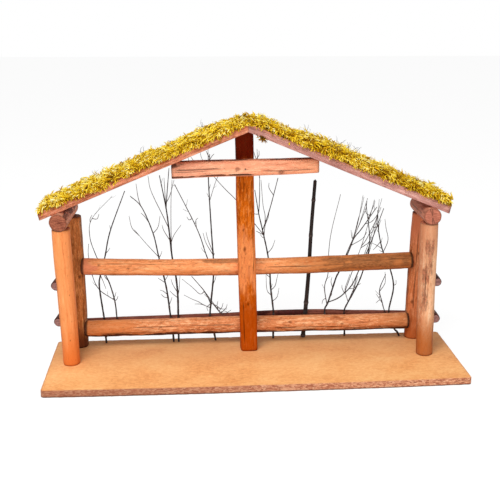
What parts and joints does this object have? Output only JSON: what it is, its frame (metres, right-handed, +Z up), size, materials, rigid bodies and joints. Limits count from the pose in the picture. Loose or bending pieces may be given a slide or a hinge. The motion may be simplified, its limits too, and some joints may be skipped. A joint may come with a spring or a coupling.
{
  "type": "table-top crib stable",
  "caption": "Open-fronted table-top crib stable of peeled branches on a chipboard base, with a low moss-covered gable roof, back rails and a fence of bare twigs.",
  "frame": {"origin": "middle of the base board's underside, on the surface it stands on", "axes": "+X along the front to the viewer's right, +Y from the open front to the back, +Z up"},
  "size_m": [0.5069, 0.1525, 0.3111],
  "materials": {
    "chipboard": "smooth raw chipboard",
    "peeled_branch": "stained peeled branch",
    "roof_plank": "rough sawn",
    "bark_stick": "thin bark",
    "dark_twig": "dry dark bark",
    "dry_moss": "dry moss",
    "nail_steel": "dull cut brad"
  },
  "bodies": {
    "root": {"base_board": "chipboard", "front_left_post": "peeled_branch", "front_right_post": "peeled_branch", "rear_left_post": "peeled_branch", "rear_right_post": "peeled_branch", "centre_post": "peeled_branch", "upper_rail": "peeled_branch", "lower_rail": "peeled_branch", "twig_rail": "bark_stick", "left_upper_side_rail": "peeled_branch", "left_lower_side_rail": "peeled_branch", "right_upper_side_rail": "peeled_branch", "right_lower_side_rail": "peeled_branch", "left_purlin": "peeled_branch", "right_purlin": "peeled_branch", "collar_beam": "peeled_branch", "left_roof_board": "roof_plank", "right_roof_board": "roof_plank", "left_moss": "dry_moss", "right_moss": "dry_moss", "thick_stick": "dark_twig", "twig_1": "dark_twig", "twig_2": "dark_twig", "twig_3": "dark_twig", "twig_4": "dark_twig", "twig_5": "dark_twig", "twig_6": "dark_twig", "twig_7": "dark_twig", "base_nails": "nail_steel", "purlin_nails": "nail_steel", "roof_nails": "nail_steel", "rail_nails": "nail_steel", "side_rail_nails": "nail_steel", "twig_rail_nails": "nail_steel", "collar_nail": "nail_steel"}
  },
  "joints": []
}
